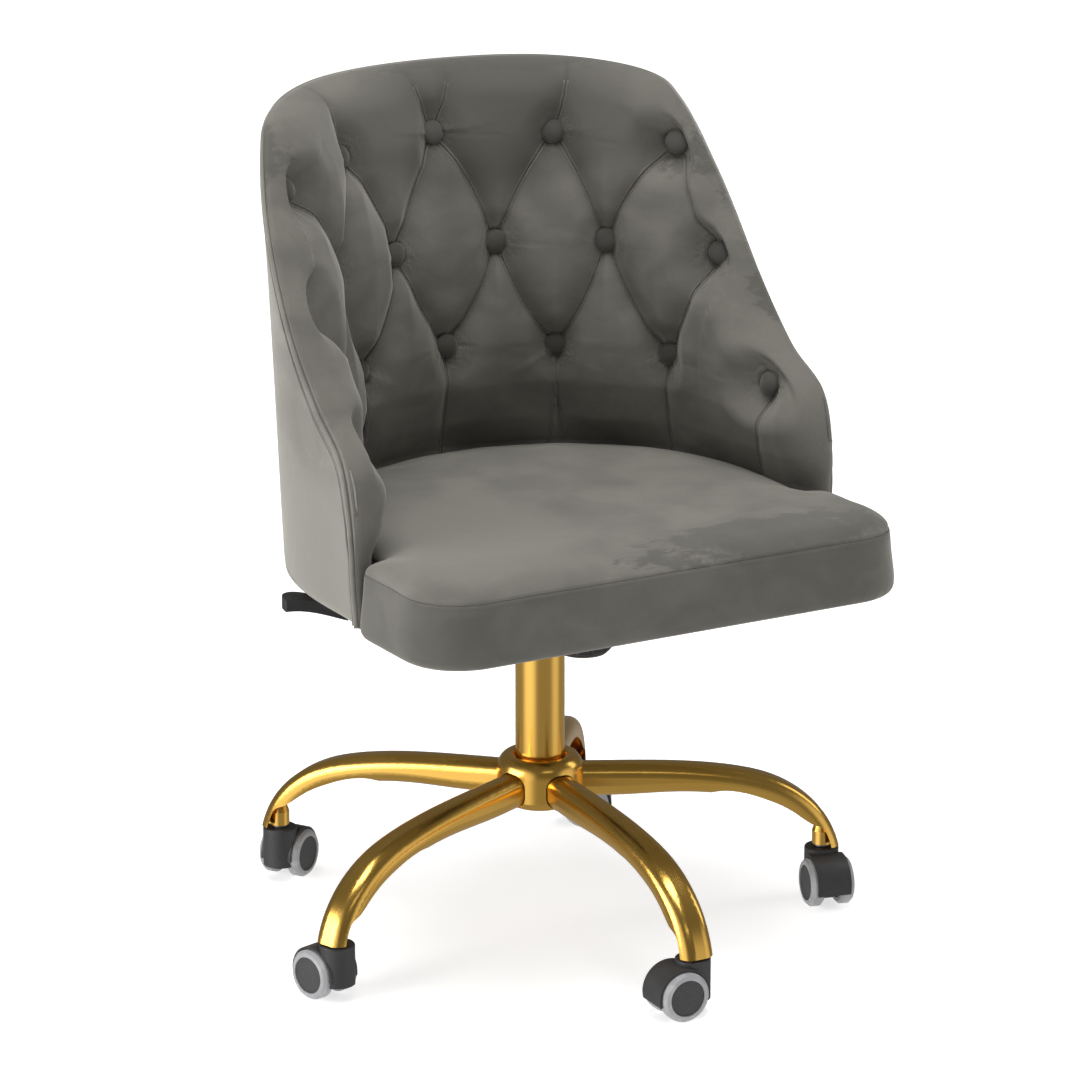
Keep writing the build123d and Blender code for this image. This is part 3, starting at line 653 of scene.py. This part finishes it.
cover = {
    "out": -0.0016, "in": 0.0135, "edge": 0.0040, "roll": 0.006, "foot": 0.017, "bottom": 0.3822,
    "grow": -0.004, "sag": 0.0006, "weltRadius": 0.0026, "weltIn": 0.0006, "weltLift": -0.0030,
    "foldOut": -0.0014, "foldLift": -0.0085, "foldSize": 0.45,
    # painted light low on the outer side and painted shade higher up
    "naps": [((-0.27, -0.04, 0.44), (0.10, 0.14, 0.09), 1.16),
             ((-0.27, 0.02, 0.76), (0.08, 0.20, 0.10), 0.84)],
}


def coverOut(arc, z, d):
    edge = (cover["edge"] - cover["out"]) * (1 - quarter(d / cover["roll"]))
    sag = cover["sag"] * np.sin(arc * 19 + z * 11) * ease(d / 0.04)
    return cover["out"] + edge + coverFoot(z) + sag


def coverFoot(z):  # the bottom edge curls under
    return cover["foot"] * (1 - quarter((z - cover["bottom"]) / cover["foot"]))


def coverIn(arc, z, d):
    edge = cover["edge"] + coverFoot(z)
    inner = np.maximum(cover["in"] + 0.006 * (1 - ease((z - cover["bottom"]) / 0.02)), edge + 0.001)
    return edge + (inner - edge) * quarter(d / cover["roll"])


outerCover = wallPanel("outerCover", 260, 80, 80, coverIn, coverOut, cover["bottom"], cover["grow"])
dress(outerCover, velvet("velvetOuter", velvetLitShadedTones["outer"], naps=cover["naps"]), "tilt")
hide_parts("back_shell")
print("stage: outer cover")


def tube(name, lines, radius, material):  # round cords along lines, as one piece
    curve = bpy.data.curves.new(name, "CURVE")
    curve.dimensions = "3D"
    curve.bevel_depth = radius
    curve.bevel_resolution = 2
    curve.use_fill_caps = True
    for points, sizes in lines:
        spline = curve.splines.new("POLY")
        spline.points.add(len(points) - 1)
        for knot, point, size in zip(spline.points, points, sizes):
            knot.co = (*point, 1)
            knot.radius = size
    holder = bpy.data.objects.new(name, curve)
    scene.collection.objects.link(holder)
    mesh = bpy.data.meshes.new_from_object(holder)
    bpy.data.objects.remove(holder)
    bm = bmesh.new()
    bm.from_mesh(mesh)
    bmesh.ops.remove_doubles(bm, verts=bm.verts, dist=0.00001)
    bmesh.ops.recalc_face_normals(bm, faces=bm.faces)
    return dress(finishMesh(bm, name), material, "tilt")


def rimPath(inset, lift, lowest, along=361, down=39):  # a line that follows the front edges and the rim
    u = np.linspace(-1, 1, along)
    tops = rimHeight(u) + lift
    foot = np.linspace(lowest, tops[0], down + 1)[:-1]
    parts = [wallPoint(-1.0, foot, inset, lift), wallPoint(u, tops, inset, lift),
             wallPoint(1.0, foot[::-1], inset, lift)]
    return np.vstack(parts)


welt = rimPath(cover["weltIn"], cover["weltLift"], 0.386)
seamFold = rimPath(cover["foldOut"], cover["foldLift"], 0.388)  # a finer fold behind the welt
weltLines = [(welt, np.ones(len(welt))), (seamFold, np.full(len(seamFold), cover["foldSize"]))]
tube("edgeWelt", weltLines, cover["weltRadius"], velvet("velvetWelt", velvetLitShadedTones["outer"]))

ridge = {
    "radius": 0.00105, "gap": 0.0021, "sunk": 0.0003, "samples": 30,
    "belowRim": 0.014, "aboveSeat": 0.44, "byButton": 0.0095, "shallow": 0.55,
}


def ridgeLines():  # two fine ridges along each fold
    lines = []
    for knots in pleatPaths:
        path = np.array(knots)
        t = np.linspace(0, 1, ridge["samples"])
        at = np.stack([np.interp(t, np.linspace(0, 1, len(path)), path[:, k]) for k in range(3)], -1)
        along = np.gradient(at[:, :2], axis=0)
        along /= np.linalg.norm(along, axis=1, keepdims=True)
        if path[:, 2].max() <= ridge["shallow"]:
            continue
        for side in (-1, 1):
            s = at[:, 0] + side * ridge["gap"] * along[:, 1]
            z = at[:, 1] - side * ridge["gap"] * along[:, 0]
            size = np.clip(at[:, 2] / 0.5, 0.05, 1) * (0.25 + 0.75 * ease(toButtons(s, z) / 0.022))
            top = rimHeight(stationOf(s, z, tuft["grow"])) - ridge["belowRim"]
            keep = (toButtons(s, z) > ridge["byButton"]) & (z > ridge["aboveSeat"]) & (z < top)
            points = padPoints(s, z, -ridge["sunk"])
            if keep.sum() > 3:
                lines.append((points[keep], size[keep]))
    return lines


tube("pleatEdges", ridgeLines(), ridge["radius"], velvet("velvetPleat", velvetLitShadedTones["pleat"]))
print("stage: welt")

seat = {
    "halfWidth": 0.2725, "frontY": -0.2735, "corner": 0.060, "bottom": 0.3755, "top": 0.4475,
    "rearRadius": 0.240, "rearCentre": -0.042, "shoulderY": -0.1165, "shoulder": 0.011, "neck": 0.241,
    "edge": 0.009, "voxel": 0.006, "pressure": 3.0, "cap": 0.006, "frames": 20,
    # the boxing tone paints the cloth below the seam darker: painted shade
    "crown": 0.0075, "seamZ": 0.4405, "seamPull": 0.0009, "boxing": 0.70,
    "crushed": [((0.13, -0.240, 0.45), (0.17, 0.045, 0.03))],
    # a broad patch of painted light on the seat top
    "naps": [((-0.15, -0.12, 0.455), (0.12, 0.16, 0.03), 1.15)],
}


def seatOutline():  # the block in front, its shoulders, and the narrower part inside the wings
    def arc(cx, cy, r, start, end, steps):
        angles = [radians(start + (end - start) * k / steps) for k in range(steps + 1)]
        return [(cx + r * cos(a), cy + r * sin(a)) for a in angles]

    c, r = seat["corner"], seat["shoulder"]
    right = arc(seat["halfWidth"] - c, seat["frontY"] + c, c, -90, 0, 12)
    right += arc(seat["halfWidth"] - r, seat["shoulderY"] - r, r, 0, 90, 6)
    right += [(seat["neck"] + 0.0015, seat["shoulderY"] + 0.004), (seat["neck"], -0.085)]
    right += arc(0, seat["rearCentre"], seat["rearRadius"], 0, 84, 15)
    rear = (0, seat["rearCentre"] + seat["rearRadius"])
    return right + [rear] + [(-x, y) for x, y in right[::-1]]


def makeSeat():
    bm = bmesh.new()
    face = bm.faces.new([bm.verts.new((x, y, seat["bottom"])) for x, y in seatOutline()])
    grown = bmesh.ops.extrude_face_region(bm, geom=[face])
    lifted = [g for g in grown["geom"] if isinstance(g, bmesh.types.BMVert)]
    bmesh.ops.translate(bm, vec=(0, 0, seat["top"] - seat["bottom"]), verts=lifted)
    rims = [e for e in bm.edges if abs(e.verts[0].co.z - e.verts[1].co.z) < 1e-6]
    bmesh.ops.bevel(bm, geom=rims, offset=seat["edge"], offset_type="OFFSET", affect="EDGES", segments=4,
                    profile=0.5, material=-1)
    bmesh.ops.recalc_face_normals(bm, faces=bm.faces)
    piece = finishMesh(bm, "seatCushion")
    remesh = piece.modifiers.new("remesh", "REMESH")
    remesh.mode = "VOXEL"
    remesh.voxel_size = seat["voxel"]
    settle(piece)
    inflate(piece)
    smoothing = piece.modifiers.new("fair", "SMOOTH")
    smoothing.factor = 0.5
    smoothing.iterations = 4
    fine = piece.modifiers.new("fine", "SUBSURF")
    fine.levels = fine.render_levels = 1
    settle(piece)
    return piece


def settle(piece):  # applies the modifiers
    graph = bpy.context.evaluated_depsgraph_get()
    mesh = bpy.data.meshes.new_from_object(piece.evaluated_get(graph))
    piece.modifiers.clear()
    old = piece.data
    piece.data = mesh
    bpy.data.meshes.remove(old)


def inflate(piece):  # blows the cover up like a bag, and keeps only a little of the swelling
    start = np.empty(len(piece.data.vertices) * 3)
    piece.data.vertices.foreach_get("co", start)
    cloth = piece.modifiers.new("cloth", "CLOTH")
    cloth.settings.use_pressure = True
    cloth.settings.uniform_pressure_force = seat["pressure"]
    cloth.settings.effector_weights.gravity = 0
    cloth.settings.quality = 5
    cloth.point_cache.frame_start = 1
    cloth.point_cache.frame_end = seat["frames"]
    for step in range(1, seat["frames"] + 1):
        scene.frame_set(step)
    graph = bpy.context.evaluated_depsgraph_get()
    mesh = piece.evaluated_get(graph).to_mesh()
    blown = np.empty(len(mesh.vertices) * 3)
    mesh.vertices.foreach_get("co", blown)
    piece.evaluated_get(graph).to_mesh_clear()
    piece.modifiers.clear()
    move = (blown - start).reshape(-1, 3)
    size = np.linalg.norm(move, axis=1, keepdims=True)
    move = move * np.minimum(1, seat["cap"] / np.maximum(size, 1e-9))
    x, y, z = start.reshape(-1, 3).T
    held = ease((z - seat["bottom"] - 0.004) / 0.055)  # the cover is stapled under the board
    rear = 1 - 0.6 * ease((y + 0.12) / 0.05) * ease((np.hypot(x, y - seat["rearCentre"]) - 0.19) / 0.04)
    move = move * (held * rear)[:, None]
    piece.data.vertices.foreach_set("co", (start + move.ravel()).astype(np.float32))
    piece.data.update()
    scene.frame_set(1)


def shapeSeat(piece):  # the crown on top, and the seam
    co = np.empty(len(piece.data.vertices) * 3)
    piece.data.vertices.foreach_get("co", co)
    co = co.reshape(-1, 3)
    x, y, z = co.T
    up = ease((z - 0.43) / 0.016)
    crown = (1 - (x / 0.29) ** 4) * ease((y + 0.285) / 0.10) * (1 - ease((y - 0.05) / 0.20) * 0.6)
    co[:, 2] += up * seat["crown"] * np.clip(crown, 0, 1)
    # the seam pulls in all round the boxing
    front = ease((-0.118 - y) / 0.01)
    pull = np.exp(-((z - seat["seamZ"]) / 0.0022) ** 2) * front * (np.abs(z - 0.41) < 0.04)
    flatNormal = np.stack([x / 0.27, (y + 0.20) / 0.07, np.zeros_like(x)], -1)
    side = (np.abs(x) > 0.255) | (y < -0.262)
    flatNormal /= np.maximum(np.linalg.norm(flatNormal, axis=1, keepdims=True), 1e-6)
    co -= flatNormal * (pull * side * seat["seamPull"])[:, None]
    co[:, 2] = np.maximum(co[:, 2], seat["bottom"] - 0.003)
    piece.data.vertices.foreach_set("co", co.ravel().astype(np.float32))
    piece.data.polygons.foreach_set("use_smooth", [True] * len(piece.data.polygons))
    piece.data.update()


seatCushion = makeSeat()
shapeSeat(seatCushion)
seatVelvet = velvet("velvetSeat", velvetLitShadedTones["seat"], False, seat["seamZ"], seat["crushed"], seat["naps"],
                    seat["boxing"])
dress(seatCushion, seatVelvet, "tilt")
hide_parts("seat_cushion")
print("stage: seat", len(seatCushion.data.polygons), "faces")

studio = {
    "camera": (-2.449, -4.242, 1.852), "look": (0.0, 0.0, 0.404), "lens": 170.0,
    "floor": 0.80, "glowNear": 0.66, "glowFar": 1.0, "nearFloor": 0.8, "farFloor": 3.0,
    "air": 0.14, "below": 0.22, "bandLeft": 0.9, "bandRight": 0.6,
}
camera = bpy.data.objects.new("camera", bpy.data.cameras.new("camera"))
scene.collection.objects.link(camera)
camera.data.lens = studio["lens"]
camera.data.sensor_width = 36
camera.data.clip_end = 60
camera.location = studio["camera"]
camera.rotation_euler = (Vector(studio["look"]) - camera.location).to_track_quat("-Z", "Y").to_euler()
scene.camera = camera

bm = bmesh.new()
bmesh.ops.create_circle(bm, cap_ends=True, segments=96, radius=30)
floor = finishMesh(bm, "floor", flat=True)
m = Finish("floorFinish")
x, y, z = m.axes()
away = m.smooth((x * x + y * y).power(0.5), studio["nearFloor"], studio["farFloor"])
glow = m.mix(away, rgb(*[studio["glowNear"]] * 3), rgb(*[studio["glowFar"]] * 3))
m.tree.links.new(glow.value, m.shader.inputs["Emission Color"])
m.shader.inputs["Emission Strength"].default_value = 1.0
floor.data.materials.append(m.use(colour=rgb(*[studio["floor"]] * 3), rough=0.8, specular=0.1))
floor.visible_glossy = False  # the gold mirrors the softboxes, not the floor


def softbox(name, place, target, size, radiance, colour=(1, 1, 1)):
    lamp = bpy.data.lights.new(name, "AREA")
    lamp.shape = "RECTANGLE"
    lamp.size, lamp.size_y = size
    lamp.energy = radiance * pi * size[0] * size[1]
    lamp.color = colour
    holder = bpy.data.objects.new(name, lamp)
    scene.collection.objects.link(holder)
    holder.location = place
    holder.rotation_euler = (Vector(target) - Vector(place)).to_track_quat("-Z", "Y").to_euler()


softbox("topLight", (-0.3, -0.3, 3.2), (0, 0, 0.4), (2.6, 2.2), 5.4)
softbox("leftLight", (-3.2, 0.5, 0.8), (0, 0, 0.5), (2.4, 1.4), 4.5)
softbox("rightLight", (3.0, -0.6, 1.6), (0, 0, 0.4), (0.9, 1.6), 1.6)
softbox("frontStrip", (-0.6, -4.6, 3.2), (0, 0, 0.4), (2.2, 0.5), 1.4)

world = bpy.data.worlds.new("studioAir")
scene.world = world
world.use_nodes = True
w = Finish("airMaths")
w.tree = world.node_tree
split = w.tree.nodes.new("ShaderNodeSeparateXYZ")
w.tree.links.new(w.node("ShaderNodeTexCoord").value, split.inputs[0])
x, y, z = [Sock(w.tree, out) for out in split.outputs]
bandLeft = w.smooth(x * -0.98 - y * 0.17, 0.72, 0.96) * studio["bandLeft"]
bandRight = w.smooth(x * 0.73 - y * 0.68, 0.84, 0.98) * studio["bandRight"]
below = (1 - w.smooth(z, -0.5, 0.1)) * studio["below"]
air = bandLeft + bandRight + below + studio["air"]
w.tree.nodes["Background"].inputs["Color"].default_value = rgb(1, 1, 1)
w.tree.links.new(air.value, w.tree.nodes["Background"].inputs["Strength"])
print("stage: studio")
